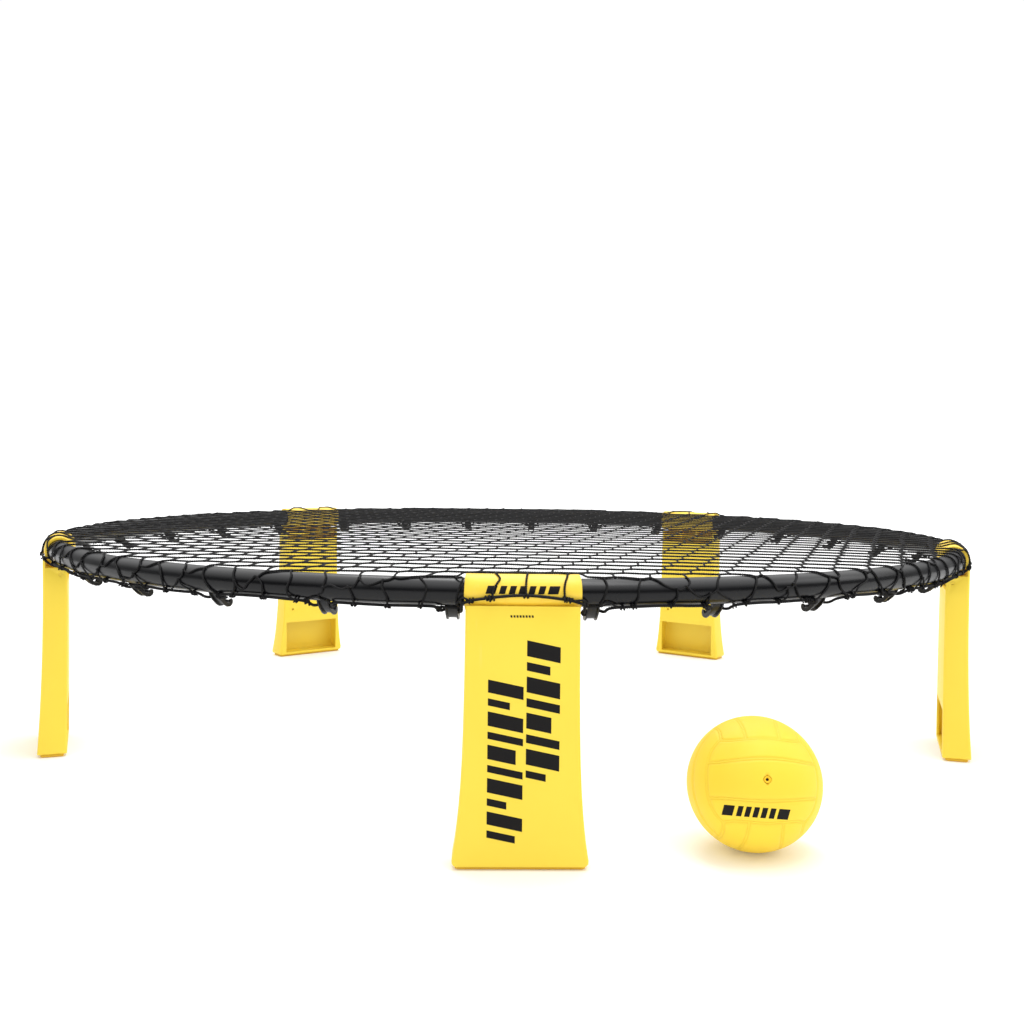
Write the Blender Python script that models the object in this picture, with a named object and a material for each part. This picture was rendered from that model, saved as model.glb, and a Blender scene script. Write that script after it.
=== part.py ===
"""Roundnet set: a ring of five rim segments on five folding legs, its net, and its ball.

Metres, +Z up, floor at z = 0, front leg towards -Y. An azimuth is counted from -Y towards +X, and a
point of the ring is (radius, along, height): radius from the ring's axis, along the tangent, and up.
"""

import math

import bmesh
import bpy
from mathutils import Matrix, Vector

# ---- driving dimensions ----
GAP = 0.0003  # between pieces that touch
RING_Y = 0.00545  # the ring's axis stands this far back, so that the origin is the bottom centre
SECTORS = 5
SECTOR = math.tau / SECTORS

RING_RADIUS = 0.457  # to the tube's centreline: 36 inches across
RING_HEIGHT = 0.1923
TUBE_RADIUS = 0.010
TUBE_WALL = 0.0025
TUBE_SIDES = 12

COLLAR_RADIUS = 0.013
COLLAR_BORE = TUBE_RADIUS + 0.0004
COLLAR_HALF = 0.040 / RING_RADIUS  # half of its angle
LUG_ALONG = 0.012
LUG_THICK = 0.0025

HOOKS_PER_SEGMENT = 6
HOOK_FIRST = math.radians(6.3)
HOOK_WIDTH = 0.009

PIN_RADIUS = 0.0015
PIN_HOLE = PIN_RADIUS + GAP
PIN_AT = (0.4545, 0.1703)  # radius and height of the hinge axis
PIN_HALF = 0.0396

LEG_TOP = 0.1843
LEG_BOTTOM = 0.0028
LEG_WALL = 0.0024
LEG_WALL_TOP = 0.1768  # side walls stop here, under the collar
PLATE_BACK = 0.4678  # the front plate's back face, where it passes the collar
BACK_TOP = 0.1623  # the inner plate runs from here
BACK_BOTTOM = 0.0473  # down to here, above the open pocket
DRAIN_AT = (0.029, 0.0653)
DRAIN_RADIUS = 0.0016
PAD_HEIGHT = 0.0025

NET_THICK = 0.001
NET_CENTRE_RADIUS = 0.200
NET_FLAT_RADIUS = 0.446
NET_HEIGHT = RING_HEIGHT + TUBE_RADIUS + 0.0004
NET_OVER_TUBE = TUBE_RADIUS + 0.0004
NET_OVER_COLLAR = COLLAR_RADIUS + 0.0007

CORD_RADIUS = 0.00125
CORD_SIDES = 5

BALL_RADIUS = 0.0493
BALL_WALL = 0.0025
BALL_AT = (0.1732, -0.4300)
VALVE_AXIS = Vector((-0.037, -0.941, 0.336)).normalized()
VALVE_HOLE = 0.0028

# Outlines as (outward, upward) from the tube's centreline.
HOOK_OUTLINE = (
    (0.0018, -0.0088),
    (0.0008, -0.0120),
    (-0.0025, -0.0160),
    (-0.0065, -0.0196),
    (-0.0095, -0.0213),
    (-0.0126, -0.0214),
    (-0.0150, -0.0198),
    (-0.0156, -0.0172),
    (-0.0152, -0.0140),
    (-0.0139, -0.0123),
    (-0.0126, -0.0128),
    (-0.0122, -0.0146),
    (-0.0120, -0.0170),
    (-0.0106, -0.0182),
    (-0.0082, -0.0172),
    (-0.0050, -0.0142),
    (-0.0030, -0.0116),
    (-0.0022, -0.0089),
)
LUG_OUTLINE = (
    (-0.0062, -0.0108),
    (-0.0060, -0.0220),
    (-0.0048, -0.0246),
    (-0.0025, -0.0255),
    (0.0004, -0.0244),
    (0.0100, -0.0160),
    (0.0101, -0.0068),
    (0.0088, -0.0073),
    (0.0050, -0.0106),
    (0.0008, -0.0117),
)

# The edge cord's route: metres (or a share of the way to the next hook's middle) along from a hook,
# distance from the tube's centreline, and degrees up from straight outward.
AT_HOOK = ((0.0, 0.0154, -118), (0.0058, 0.0150, -115), (0.0080, 0.0136, -90), (0.0104, 0.0121, -58))
AT_MIDDLE = ((0.50, 0.0121, -46), (1.0, 0.0121, -40))
BY_COLLAR = ((0.0, 0.0154, -118), (-0.0056, 0.0150, -115), (-0.0070, 0.0142, -84), (-0.0081, 0.0144, -54))
OVER_COLLAR = ((-0.0088, 0.0149, -29), (-0.0105, 0.0149, -24), (-0.0220, 0.0149, -12), (None, 0.0149, -1))


# ---- helpers ----
def place(radius, along, height, azimuth=0.0):
    sine = math.sin(azimuth)
    cosine = math.cos(azimuth)
    return Vector((radius * sine + along * cosine, along * sine - radius * cosine, height))


def around_tube(azimuth, distance, angle):
    """A point at this distance from the tube's centreline; the angle rises from straight outward."""
    radius = RING_RADIUS + distance * math.cos(angle)
    return place(radius, 0, RING_HEIGHT + distance * math.sin(angle), azimuth)


def wire(bm, points, cyclic=True):
    """A chain of edges through these points."""
    verts = [bm.verts.new(point) for point in points]
    edges = [bm.edges.new(pair) for pair in zip(verts, verts[1:])]
    if cyclic:
        edges.append(bm.edges.new((verts[-1], verts[0])))
    return edges


def bridge(bm, one, two):
    bmesh.ops.bridge_loops(bm, edges=one + two)


def loft(bm, rows, caps=True, cyclic=False):
    """A closed solid through loops of points."""
    loops = [wire(bm, row) for row in rows]
    for one, two in zip(loops, loops[1:]):
        bridge(bm, one, two)
    if cyclic:
        bridge(bm, loops[-1], loops[0])
    elif caps:
        bmesh.ops.contextual_create(bm, geom=loops[0])
        bmesh.ops.contextual_create(bm, geom=loops[-1])


def prism(bm, outline, along_from, along_to, azimuth=0.0):
    """An outline of (radius, height) points, extruded along the tangent."""
    edges = wire(bm, [place(radius, along_from, height, azimuth) for radius, height in outline])
    face = bmesh.ops.contextual_create(bm, geom=edges)["faces"]
    grown = bmesh.ops.extrude_face_region(bm, geom=face, use_keep_orig=True)["geom"]
    verts = [v for v in grown if isinstance(v, bmesh.types.BMVert)]
    bmesh.ops.translate(bm, verts=verts, vec=place(0, along_to - along_from, 0, azimuth))


def box(bm, radius, along, height):
    """Three (low, high) pairs."""
    outline = [(radius[i], height[j]) for i, j in ((0, 0), (1, 0), (1, 1), (0, 1))]
    prism(bm, outline, along[0], along[1])


def rod(bm, centre, radius, length, sides, turn):
    """A round rod about this centre, its own +Z turned by a matrix."""
    where = Matrix.Translation(centre) @ turn @ Matrix.Rotation(math.pi / sides, 4, "Z")
    bmesh.ops.create_cone(
        bm, cap_ends=True, segments=sides, radius1=radius, radius2=radius, depth=length, matrix=where
    )


ALONG = Matrix.Rotation(math.pi / 2, 4, "Y")
OUTWARD = Matrix.Rotation(math.pi / 2, 4, "X")


def finish(bm, name, smooth=None, origin=(0, 0, 0)):
    """The mesh as an object with its own origin at this point, smooth up to an angle in degrees."""
    bmesh.ops.recalc_face_normals(bm, faces=bm.faces)
    bmesh.ops.translate(bm, verts=bm.verts, vec=-Vector(origin))
    mesh = bpy.data.meshes.new(name)
    bm.to_mesh(mesh)
    bm.free()
    if smooth:
        mesh.shade_smooth()
        mesh.set_sharp_from_angle(angle=math.radians(smooth))
    obj = bpy.data.objects.new(name, mesh)
    bpy.context.scene.collection.objects.link(obj)
    obj.location = origin
    return obj


def combined(base, others, operation):
    """The base's mesh after Booleans with the other objects, which are then removed."""
    for other in others:
        other.hide_render = True
        other.display_type = "WIRE"
        modifier = base.modifiers.new(other.name, "BOOLEAN")
        modifier.operation = operation
        modifier.solver = "EXACT"
        modifier.object = other
    bpy.context.view_layer.update()
    graph = bpy.context.evaluated_depsgraph_get()
    base.data = bpy.data.meshes.new_from_object(base.evaluated_get(graph))
    base.modifiers.clear()
    for other in others:
        bpy.data.objects.remove(other, do_unlink=True)
    return base


def material(name, colour, roughness, metallic=0.0):
    made = bpy.data.materials.new(name)
    made.use_nodes = True
    shader = made.node_tree.nodes["Principled BSDF"]
    shader.inputs["Base Color"].default_value = (*colour, 1)
    shader.inputs["Roughness"].default_value = roughness
    shader.inputs["Metallic"].default_value = metallic
    made.diffuse_color = (*colour, 1)
    return made


def paint(obj, made):
    obj.data.materials.clear()
    obj.data.materials.append(made)
    return obj


def repeated(first, stem, made):
    """The first object and a copy for each other sector, turned about the ring's axis."""
    paint(first, made)
    start = Matrix.Translation(first.location)
    for i in range(SECTORS):
        obj = first if i == 0 else first.copy()
        obj.name = f"{stem}_{i + 1}"
        if i:
            bpy.context.scene.collection.objects.link(obj)
        obj.matrix_world = Matrix.Rotation(SECTOR * i, 4, "Z") @ start


# ---- stations round the ring ----
def hook_azimuths():
    """The hooks of the segment between the collars at azimuths 0 and SECTOR."""
    step = (SECTOR - 2 * HOOK_FIRST) / (HOOKS_PER_SEGMENT - 1)
    return [HOOK_FIRST + step * i for i in range(HOOKS_PER_SEGMENT)]


def segment_stations():
    hooks = hook_azimuths()
    middles = [(a + b) / 2 for a, b in zip(hooks, hooks[1:])]
    near = [COLLAR_HALF / 2, COLLAR_HALF]
    far = [SECTOR - a for a in near]
    return sorted(near + far + hooks + middles)


def net_stations():
    """(azimuth, 0 on the tube to 1 over a collar) for the whole ring."""
    found = []
    edge = COLLAR_HALF + 0.0016
    for i in range(SECTORS):
        for azimuth in (-edge, -COLLAR_HALF / 2, 0.0, COLLAR_HALF / 2, edge):
            found.append((SECTOR * i + azimuth, 1.0))
        for azimuth in segment_stations():
            if edge < azimuth < SECTOR - edge:
                found.append((SECTOR * i + azimuth, 0.0))
    return sorted(found)


# ---- rim ----
def pipe(bm, stations, outer, wall, sides):
    """A pipe along the ring, open at both ends, with its wall grown inward."""
    angles = [math.tau * (j + 0.5) / sides for j in range(sides)]
    loops = []
    for azimuth in stations:
        loops.append(wire(bm, [around_tube(azimuth, outer, angle) for angle in angles]))
    for one, two in zip(loops, loops[1:]):
        bridge(bm, one, two)
    bmesh.ops.recalc_face_normals(bm, faces=bm.faces)
    bmesh.ops.solidify(bm, geom=bm.faces[:], thickness=wall)


def rim_segment():
    """A pipe with its hooks moulded under it."""
    bm = bmesh.new()
    end = GAP / RING_RADIUS
    stations = [end] + segment_stations() + [SECTOR - end]
    pipe(bm, stations, TUBE_RADIUS, TUBE_WALL, TUBE_SIDES)
    segment = finish(bm, "rim_segment", 40)
    bm = bmesh.new()
    outline = [(RING_RADIUS + out, RING_HEIGHT + up) for out, up in HOOK_OUTLINE]
    for azimuth in hook_azimuths():
        prism(bm, outline, -HOOK_WIDTH / 2, HOOK_WIDTH / 2, azimuth)
    return combined(segment, [finish(bm, "hooks")], "UNION")


def collar():
    """A sleeve over two rim ends. Its two lugs hold the pin, and their front edges stop the leg."""
    bm = bmesh.new()
    stations = [COLLAR_HALF * i / 2 for i in range(-2, 3)]
    pipe(bm, stations, COLLAR_RADIUS, COLLAR_RADIUS - COLLAR_BORE, TUBE_SIDES)
    sleeve = finish(bm, "leg_collar", 40)
    outline = [(RING_RADIUS + out, RING_HEIGHT + up) for out, up in LUG_OUTLINE]
    bm = bmesh.new()
    for side in (-1, 1):
        middle = side * LUG_ALONG
        prism(bm, outline, middle - LUG_THICK / 2, middle + LUG_THICK / 2)
    combined(sleeve, [finish(bm, "lugs")], "UNION")
    bm = bmesh.new()
    rod(bm, place(PIN_AT[0], 0, PIN_AT[1]), PIN_HOLE, 0.04, 10, ALONG)
    return combined(sleeve, [finish(bm, "hole")], "DIFFERENCE")


# ---- leg ----
def leg_half_width(height):
    return 0.0398 + 0.0082 * math.exp(-(height - 0.0053) / 0.045)


def leg_outer(height):
    return 0.4700 + 0.0064 * max(0.0, (LEG_TOP - height) / LEG_TOP) ** 2.2


def leg_inner(height):
    return 0.4485 + 0.0018 * max(0.0, (LEG_TOP - height) / LEG_TOP) ** 2.0


LEG_HEIGHTS = (0.0065, 0.012, 0.019, 0.028, 0.040, 0.055, 0.074, 0.098, 0.126, 0.155)


def leg_row(height, inset, level=None, corner=0.0015, narrower=0.0):
    """The leg's outline at this height with cut corners, moved in by inset, at its own level."""
    half = leg_half_width(height) - inset - narrower
    outer = leg_outer(height) - inset
    inner = leg_inner(height) + inset
    level = height if level is None else level
    points = (
        (outer, half - corner),
        (outer, corner - half),
        (outer - corner, -half),
        (inner + corner, -half),
        (inner, corner - half),
        (inner, half - corner),
        (inner + corner, half),
        (outer - corner, half),
    )
    return [place(radius, along, level) for radius, along in points]


def leg():
    """A hollow leg with its origin on the hinge: a front plate, side walls, a floor and an inner plate."""
    bm = bmesh.new()
    rows = [leg_row(LEG_BOTTOM, 0, narrower=0.0024), leg_row(0.0042, 0, narrower=0.0007)]
    rows += [leg_row(height, 0) for height in LEG_HEIGHTS]
    rows.append(leg_row(LEG_TOP, 0))
    loft(bm, rows)
    shell = finish(bm, "leg", 30, hinge())

    cutters = []
    bm = bmesh.new()
    floor = LEG_BOTTOM + LEG_WALL
    rows = [leg_row(0.0065, LEG_WALL, floor, 0.0008)]
    rows += [leg_row(height, LEG_WALL, None, 0.0008) for height in LEG_HEIGHTS[1:]]
    rows.append(leg_row(LEG_TOP, LEG_WALL, LEG_TOP + 0.01, 0.0008))
    loft(bm, rows)
    cutters.append(finish(bm, "cavity"))
    half = leg_half_width(LEG_TOP) - LEG_WALL - 0.0001
    across = (0.4400, 0.4545)
    for name, radius, along, height in (
        ("pocket", across, (-half - 0.001, half + 0.001), (floor + 0.0004, BACK_BOTTOM)),
        ("back", across, (-half, half), (BACK_TOP, 0.2)),
        ("top", (0.4400, PLATE_BACK), (-0.06, 0.06), (LEG_WALL_TOP, 0.2)),
    ):
        bm = bmesh.new()
        box(bm, radius, along, height)
        cutters.append(finish(bm, name))
    bm = bmesh.new()
    rod(bm, hinge(), PIN_HOLE, 0.12, 10, ALONG)
    cutters.append(finish(bm, "hole"))
    bm = bmesh.new()
    rod(bm, place(0.4473, *DRAIN_AT), DRAIN_RADIUS, 0.0145, 8, OUTWARD)
    cutters.append(finish(bm, "drain"))
    return combined(shell, cutters, "DIFFERENCE")


def hinge():
    return place(PIN_AT[0], 0, PIN_AT[1])


def foot_pad():
    bm = bmesh.new()
    rows = []
    for level, inset in ((0.0, 0.0034), (0.0006, 0.0028), (PAD_HEIGHT, 0.0028)):
        rows.append(leg_row(LEG_BOTTOM, inset, level))
    loft(bm, rows)
    return finish(bm, "foot_pad", None, hinge())


def hinge_pin():
    bm = bmesh.new()
    rod(bm, hinge(), PIN_RADIUS, 2 * PIN_HALF, 10, ALONG)
    return finish(bm, "hinge_pin", 40, hinge())


# ---- net ----
def annulus(bm, inner, outer, height, thick, azimuths):
    """A flat ring with square edges."""
    rows = []
    for azimuth in azimuths:
        corners = ((inner, 0), (outer, 0), (outer, thick), (inner, thick))
        rows.append([place(radius, 0, height + lift, azimuth) for radius, lift in corners])
    loft(bm, rows, cyclic=True)


def net_centre():
    bm = bmesh.new()
    middle = Matrix.Translation((0, 0, NET_HEIGHT + NET_THICK / 2))
    radius = NET_CENTRE_RADIUS
    bmesh.ops.create_cone(
        bm, cap_ends=True, segments=50, radius1=radius, radius2=radius, depth=NET_THICK, matrix=middle
    )
    return finish(bm, "net_centre", None, (0, 0, NET_HEIGHT))


def net_border():
    bm = bmesh.new()
    azimuths = [azimuth for azimuth, _ in net_stations()]
    annulus(bm, NET_CENTRE_RADIUS + 0.0006, NET_FLAT_RADIUS, NET_HEIGHT, NET_THICK, azimuths)
    return finish(bm, "net_border")


def net_wrap():
    """The net's outer edge, which goes over the rim and the collars and down their outsides."""
    bm = bmesh.new()
    rows = []
    for azimuth, over in net_stations():
        low = NET_OVER_TUBE + over * (NET_OVER_COLLAR - NET_OVER_TUBE)
        last = math.radians(-25 + 42 * over)
        first = math.radians(90 + 25 * over)
        row = []
        for lift in (0.0, NET_THICK):
            side = [place(NET_FLAT_RADIUS + GAP, 0, NET_HEIGHT + lift, azimuth)]
            for j in range(6):
                angle = first + (last - first) * j / 5
                side.append(around_tube(azimuth, low + lift, angle))
            row += side if lift == 0 else side[::-1]
        rows.append(row)
    loft(bm, rows, cyclic=True)
    return finish(bm, "net_wrap", 40)


def edge_cord_points():
    points = []
    hooks = hook_azimuths()
    step = hooks[1] - hooks[0]
    half = []
    for along, distance, degrees in AT_HOOK:
        half.append((along / RING_RADIUS, distance, math.radians(degrees)))
    for share, distance, degrees in AT_MIDDLE:
        half.append((share * step / 2, distance, math.radians(degrees)))
    collar_half = []
    for along, distance, degrees in BY_COLLAR + OVER_COLLAR:
        azimuth = -HOOK_FIRST if along is None else along / RING_RADIUS
        collar_half.append((azimuth, distance, math.radians(degrees)))
    for i in range(SECTORS):
        start = SECTOR * i
        for azimuth, distance, angle in collar_half[:0:-1]:
            points.append(around_tube(start + HOOK_FIRST + azimuth, distance, angle))
        for hook, following in zip(hooks, hooks[1:]):
            for azimuth, distance, angle in half:
                points.append(around_tube(start + hook + azimuth, distance, angle))
            for azimuth, distance, angle in half[-2:0:-1]:
                points.append(around_tube(start + following - azimuth, distance, angle))
        for azimuth, distance, angle in collar_half[:-1]:
            points.append(around_tube(start + hooks[-1] - azimuth, distance, angle))
    return points


def net_edge_cord():
    """A closed loop of cord from hook to hook, which passes outside the collars."""
    bm = bmesh.new()
    points = edge_cord_points()
    rows = []
    count = len(points)
    for i, point in enumerate(points):
        forward = (points[(i + 1) % count] - points[i - 1]).normalized()
        outward = Vector((point.x, point.y, 0)).normalized()
        side = forward.cross(outward).normalized()
        out = side.cross(forward).normalized()
        row = []
        for j in range(CORD_SIDES):
            angle = math.tau * j / CORD_SIDES
            row.append(point + CORD_RADIUS * (math.cos(angle) * out + math.sin(angle) * side))
        rows.append(row)
    loft(bm, rows, cyclic=True)
    return finish(bm, "net_edge_cord", 60)


# ---- ball ----
def turned(outline, steps, name, smooth):
    """A solid of revolution about the valve's axis from (radius, height) points, placed as the ball lies."""
    bm = bmesh.new()
    edges = wire(bm, [(radius, 0, height) for radius, height in outline], cyclic=False)
    geometry = edges + list(bm.verts)
    bmesh.ops.spin(bm, geom=geometry, axis=(0, 0, 1), angle=math.tau, steps=steps, use_merge=True)
    bmesh.ops.remove_doubles(bm, verts=bm.verts, dist=1e-6)
    obj = finish(bm, name, smooth)
    obj.data.transform(VALVE_AXIS.to_track_quat("Z", "Y").to_matrix().to_4x4())
    obj.location = (BALL_AT[0], BALL_AT[1], BALL_RADIUS)
    return obj


def ball_skin():
    """A hollow sphere with a round hole for the valve at its pole."""
    arcs = []
    for distance, count in ((BALL_RADIUS, 12), (BALL_RADIUS - BALL_WALL, 8)):
        first = math.asin(VALVE_HOLE / distance)
        angles = [first + (math.pi - first) * i / count for i in range(count)]
        arc = [(distance * math.sin(angle), distance * math.cos(angle)) for angle in angles]
        arcs.append(arc + [(0.0, -distance)])
    return turned(arcs[0][::-1] + arcs[1], 24, "ball_skin", 50)


def ball_valve():
    """A plug whose flange sits inside the skin, with a needle hole in its outer end."""
    top = BALL_RADIUS - 0.0007
    radius = VALVE_HOLE - GAP
    flange = BALL_RADIUS - BALL_WALL - 2 * GAP
    outline = (
        (0.0, top - 0.0015),
        (0.0007, top),
        (radius, top),
        (radius, flange),
        (0.0050, flange - 0.0006),
        (0.0050, flange - 0.0030),
        (0.0, flange - 0.0030),
    )
    return turned(outline, 14, "ball_valve", 30)


def main():
    for obj in list(bpy.data.objects):
        bpy.data.objects.remove(obj, do_unlink=True)

    rim_plastic = material("rim_plastic", (0.012, 0.012, 0.013), 0.32)
    leg_plastic = material("leg_plastic", (0.95, 0.70, 0.045), 0.38)
    collar_plastic = material("collar_plastic", (0.93, 0.64, 0.03), 0.36)
    pad_rubber = material("pad_rubber", (0.62, 0.36, 0.02), 0.7)
    pin_plastic = material("pin_plastic", (0.93, 0.66, 0.04), 0.4)
    net_fabric = material("net_fabric", (0.015, 0.015, 0.016), 0.85)
    edge_fabric = material("edge_fabric", (0.012, 0.012, 0.013), 0.85)
    ball_rubber = material("ball_rubber", (0.97, 0.70, 0.03), 0.6)
    valve_rubber = material("valve_rubber", (0.55, 0.30, 0.02), 0.6)

    repeated(rim_segment(), "rim_segment", rim_plastic)
    repeated(collar(), "leg_collar", collar_plastic)
    repeated(leg(), "leg", leg_plastic)
    repeated(foot_pad(), "foot_pad", pad_rubber)
    repeated(hinge_pin(), "hinge_pin", pin_plastic)
    paint(net_centre(), net_fabric)
    paint(net_border(), net_fabric)
    paint(net_wrap(), net_fabric)
    paint(net_edge_cord(), edge_fabric)
    paint(ball_skin(), ball_rubber)
    paint(ball_valve(), valve_rubber)
    for obj in bpy.data.objects:
        obj.location.y += RING_Y


main()
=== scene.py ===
"""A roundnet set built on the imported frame: rim, collars, legs, net, edge cord, ball and a small studio."""
import bisect
import math
import random

import bmesh
import bpy
from bpy.props import FloatProperty, FloatVectorProperty, IntProperty, PointerProperty
from mathutils import Matrix, Vector


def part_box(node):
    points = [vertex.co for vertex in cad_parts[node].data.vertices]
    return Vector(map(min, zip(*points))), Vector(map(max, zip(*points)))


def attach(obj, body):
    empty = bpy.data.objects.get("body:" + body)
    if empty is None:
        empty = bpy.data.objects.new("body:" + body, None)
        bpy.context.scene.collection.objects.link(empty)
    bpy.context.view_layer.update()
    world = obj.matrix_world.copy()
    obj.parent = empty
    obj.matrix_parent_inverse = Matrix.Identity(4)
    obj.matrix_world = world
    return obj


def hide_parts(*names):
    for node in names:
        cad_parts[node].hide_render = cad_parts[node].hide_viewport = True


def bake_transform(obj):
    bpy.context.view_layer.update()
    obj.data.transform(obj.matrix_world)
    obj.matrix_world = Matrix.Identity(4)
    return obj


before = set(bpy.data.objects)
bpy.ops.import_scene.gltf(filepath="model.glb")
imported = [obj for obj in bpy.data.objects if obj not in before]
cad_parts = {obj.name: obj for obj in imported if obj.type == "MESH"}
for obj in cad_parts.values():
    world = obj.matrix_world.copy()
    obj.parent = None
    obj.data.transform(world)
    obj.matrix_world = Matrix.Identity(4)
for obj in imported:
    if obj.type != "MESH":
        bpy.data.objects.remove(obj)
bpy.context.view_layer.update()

bl_info = {
    "name": "Roundnet Set",
    "version": (1, 0, 0),
    "blender": (4, 5, 0),
    "location": "3D View > Sidebar > Roundnet",
    "description": "Builds a roundnet set: a knotted net on a ring with folding legs, and its ball",
    "category": "Object",
}

MM = 0.001
SECTORS = 5
SECTOR = math.tau / SECTORS


def middle_of(node):
    low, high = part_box(node)
    return (Vector(low) + Vector(high)) / 2


RING = Vector((middle_of("net_centre").x, middle_of("net_centre").y, 0))  # the ring's axis on the ground
RING_RADIUS = 0.457
RING_HEIGHT = 0.1923
TUBE_RADIUS = 0.010
TUBE_GAP = 0.001  # radians left open at each end of a tube, inside the collars
COLLAR_RADIUS = 0.013
COLLAR_HALF = 0.040 / RING_RADIUS
LUG_ALONG = 0.012
LUG_THICK = 0.0025
HOOKS = 6
HOOK_FIRST = math.radians(6.3)
HOOK_STEP = (SECTOR - 2 * HOOK_FIRST) / (HOOKS - 1)
HOOK_HALF = 0.0045
HOOK_RIB = 0.0031
HOOK_WEB_HALF = 0.0029
NET_FLAT_RADIUS = 0.446
BALL_CENTRE = middle_of("ball_skin")
BALL_RADIUS = BALL_CENTRE.z
VALVE_AXIS = (middle_of("ball_valve") - BALL_CENTRE).normalized()
LEG_TOP = 0.1843
LEG_HEIGHTS = (0.0042, 0.0065, 0.012, 0.019, 0.028, 0.040, 0.055, 0.074, 0.098, 0.126, 0.155, LEG_TOP)

# Hook and lug outlines as (outward, upward) from the tube's centreline, in millimetres.
HOOK_OUTLINE = (
    (1.8, -8.8), (0.8, -12.0), (-2.5, -16.0), (-6.5, -19.6), (-9.5, -21.3), (-12.6, -21.4),
    (-14.8, -20.2), (-15.6, -18.4), (-15.5, -16.6), (-14.5, -15.5), (-13.1, -15.7), (-12.4, -16.6),
    (-12.0, -17.9), (-10.8, -18.6), (-8.6, -17.6), (-5.2, -14.4), (-3.0, -11.6), (-2.2, -8.9),
)
HOOK_WEB = (
    (0.5, -8.9), (-0.5, -11.5), (-3.5, -15.0), (-7.2, -18.4), (-9.8, -19.9), (-12.4, -20.1),
    (-13.9, -19.4), (-14.6, -18.2), (-14.5, -16.9), (-14.1, -16.4), (-13.4, -16.5), (-12.8, -17.1),
    (-12.3, -18.1), (-10.8, -18.8), (-8.6, -17.8), (-5.2, -14.5), (-3.0, -11.7), (-2.2, -8.9),
)
LUG_OUTLINE = (
    (-6.2, -10.8), (-6.0, -22.0), (-4.8, -24.6), (-2.5, -25.5), (0.4, -24.4), (10.0, -16.0),
    (10.1, -6.8), (8.8, -7.3), (5.0, -10.6), (0.8, -11.7),
)

# The edge cord: millimetres along from a hook and from the tube's centreline, degrees up from outward.
AT_HOOK = ((0.0, 15.4, -118), (5.8, 15.0, -115), (8.0, 13.6, -90), (10.4, 12.1, -60))
BY_COLLAR = ((-5.6, 15.0, -115), (-7.0, 14.2, -84), (-8.1, 14.4, -54), (-8.8, 14.9, -29), (-10.5, 14.9, -24))
MID_COLLAR = (-22.0, 14.9)
ON_TUBE = 12.1
TUBE_SIDE = -56
COLLAR_MIDDLES = (-1, -17, -20, -18, -16)  # degrees, at the middle of each collar
COLLAR_SIDE = -23

# The net's lattice: one mesh is this wide, and the next row towards the back starts this far over and back.
NET_START = Vector((0.0317, -0.4555))
NET_ROW = Vector((0.0095, 0.0278))
NET_LEG = Vector((-0.0022, -0.0235))


# ---- places ----
def place(radius, along, height, azimuth=0.0):
    """A point by distance from the ring's axis, metres along the tangent, height and azimuth."""
    sine = math.sin(azimuth)
    cosine = math.cos(azimuth)
    return RING + Vector((radius * sine + along * cosine, along * sine - radius * cosine, height))


def around_tube(azimuth, distance, angle):
    """A point at this distance from the tube's centreline; the angle rises from straight outward."""
    radius = RING_RADIUS + distance * math.cos(angle)
    return place(radius, 0.0, RING_HEIGHT + distance * math.sin(angle), azimuth)


def smooth_step(value):
    value = max(0.0, min(1.0, value))
    return value * value * (3 - 2 * value)


def blend_of(one, two, share):
    return one + (two - one) * share


# ---- meshes ----
def turn_ring(azimuth):
    """A turn about the ring's own axis."""
    return Matrix.Translation(RING) @ Matrix.Rotation(azimuth, 4, "Z") @ Matrix.Translation(-RING)


def wire(bm, points, cyclic=True):
    """Vertices in a line joined by edges."""
    verts = [bm.verts.new(point) for point in points]
    pairs = list(zip(verts, verts[1:]))
    if cyclic:
        pairs.append((verts[-1], verts[0]))
    return [bm.edges.new(pair) for pair in pairs]


def bevelled(bm, width, segments=2, least=math.radians(30)):
    """Rounds each edge sharper than the angle."""
    edges = [e for e in bm.edges if len(e.link_faces) == 2 and e.calc_face_angle(0.0) > least]
    bmesh.ops.bevel(
        bm, geom=edges, offset=width, offset_type="OFFSET", segments=segments, profile=0.5,
        affect="EDGES", clamp_overlap=True, material=-1,
    )


def slab(points, shift):
    """A closed slab: a flat outline carried along by the shift."""
    bm = bmesh.new()
    face = bmesh.ops.contextual_create(bm, geom=wire(bm, points))["faces"]
    grown = bmesh.ops.extrude_face_region(bm, geom=face)["geom"]
    verts = [item for item in grown if isinstance(item, bmesh.types.BMVert)]
    bmesh.ops.translate(bm, verts=verts, vec=shift)
    bmesh.ops.recalc_face_normals(bm, faces=bm.faces)
    return bm


PRINT_LIFT = 0.00012
PRINT_THICK = 0.0003


def thicken_print(bm, toward):
    """Makes thin slabs of the print's grids. toward gives the way that a face looks."""
    bmesh.ops.recalc_face_normals(bm, faces=bm.faces)
    for face in bm.faces:
        if face.normal.dot(toward(face)) < 0:
            face.normal_flip()
    bmesh.ops.solidify(bm, geom=bm.faces[:], thickness=PRINT_THICK)


def object_from(bm, name, finish_material, sharp=math.radians(40)):
    """A mesh object at the origin with smooth shading up to the sharp angle."""
    mesh = bpy.data.meshes.new(name)
    bm.normal_update()
    for face in bm.faces:
        face.smooth = True
    for edge in bm.edges:
        if len(edge.link_faces) == 2 and edge.calc_face_angle(0.0) > sharp:
            edge.smooth = False
    bm.to_mesh(mesh)
    bm.free()
    obj = bpy.data.objects.new(name, mesh)
    bpy.context.scene.collection.objects.link(obj)
    mesh.materials.append(finish_material)
    return obj


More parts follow.
